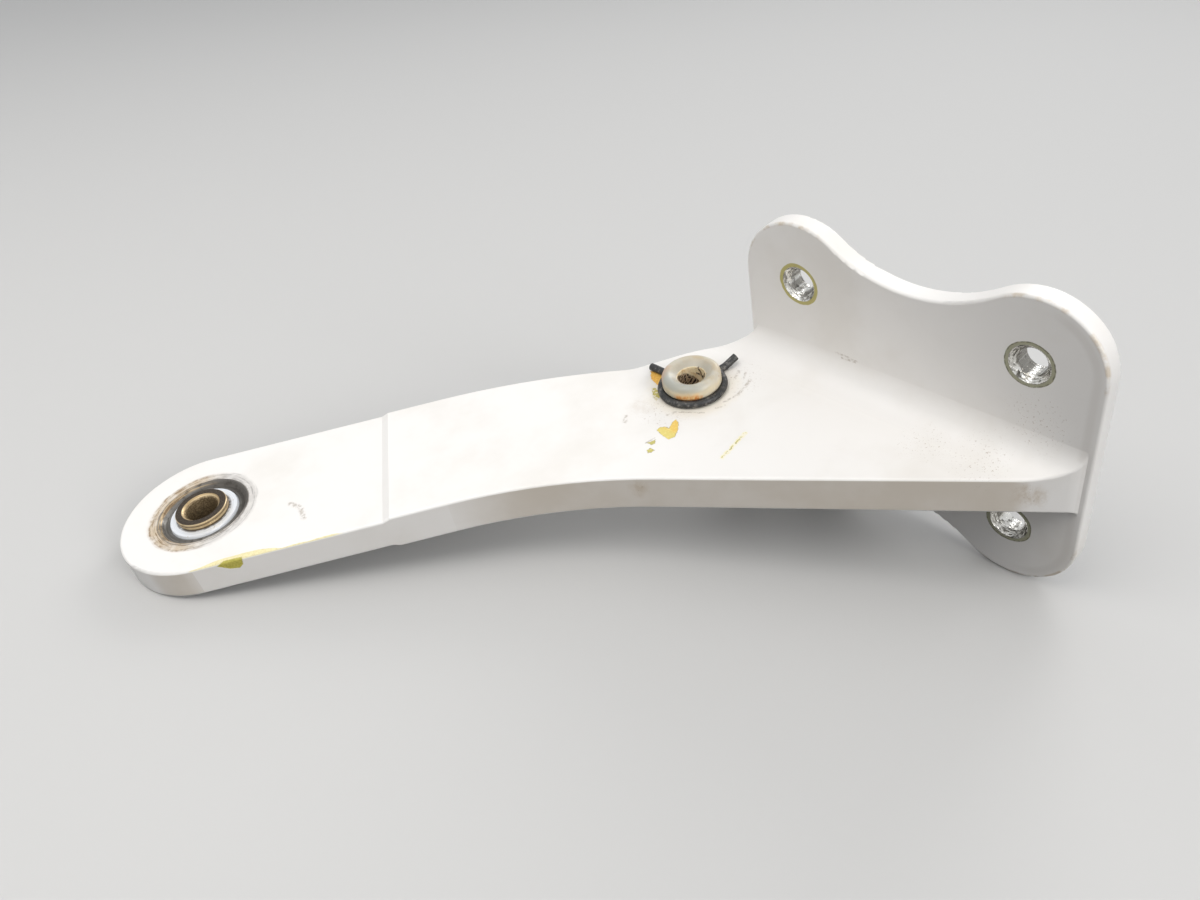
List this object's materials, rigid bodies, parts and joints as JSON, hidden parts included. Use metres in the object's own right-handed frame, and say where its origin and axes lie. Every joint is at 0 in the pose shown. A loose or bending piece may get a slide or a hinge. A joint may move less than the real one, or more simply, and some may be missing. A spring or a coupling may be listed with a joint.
{
  "type": "flap bracket",
  "caption": "White-painted flap bracket: a slim arm with a staked spherical bearing in its eye, a clipped nylon bushing in the web and an eared bolt flange.",
  "frame": {"origin": "centre of the spherical bearing, at mid thickness of the arm's eye", "axes": "+X is the flange's normal, from the arm toward the structure it bolts to; +Y runs along the flange, away from the arm's sharp side; +Z is the bearing's axis and the web's normal, out of the face that carries the bushing's rim"},
  "size_m": [0.1192, 0.1403, 0.0593],
  "materials": {
    "white_paint": "satin white paint over yellow-green primer on aluminium, chipped and dirty",
    "race_steel": "dark, grimy bearing steel",
    "ball_steel": "polished",
    "sleeve_bronze": "dull bronze",
    "nylon": "translucent off-white nylon, stained",
    "spring_wire": "blackened spring steel"
  },
  "bodies": {
    "bracket_body": {"bracket": "white_paint", "bearing_race": "race_steel", "nylon_bushing": "nylon", "wire_clip": "spring_wire"},
    "ball_body": {"bearing_ball": "ball_steel", "bearing_sleeve": "sleeve_bronze"}
  },
  "joints": [
    {"name": "ball_turn", "type": "hinge", "parent": "bracket_body", "child": "ball_body", "pos_m": [0, 0, 0], "axis": [0, 0, 1], "continuous": true}
  ]
}
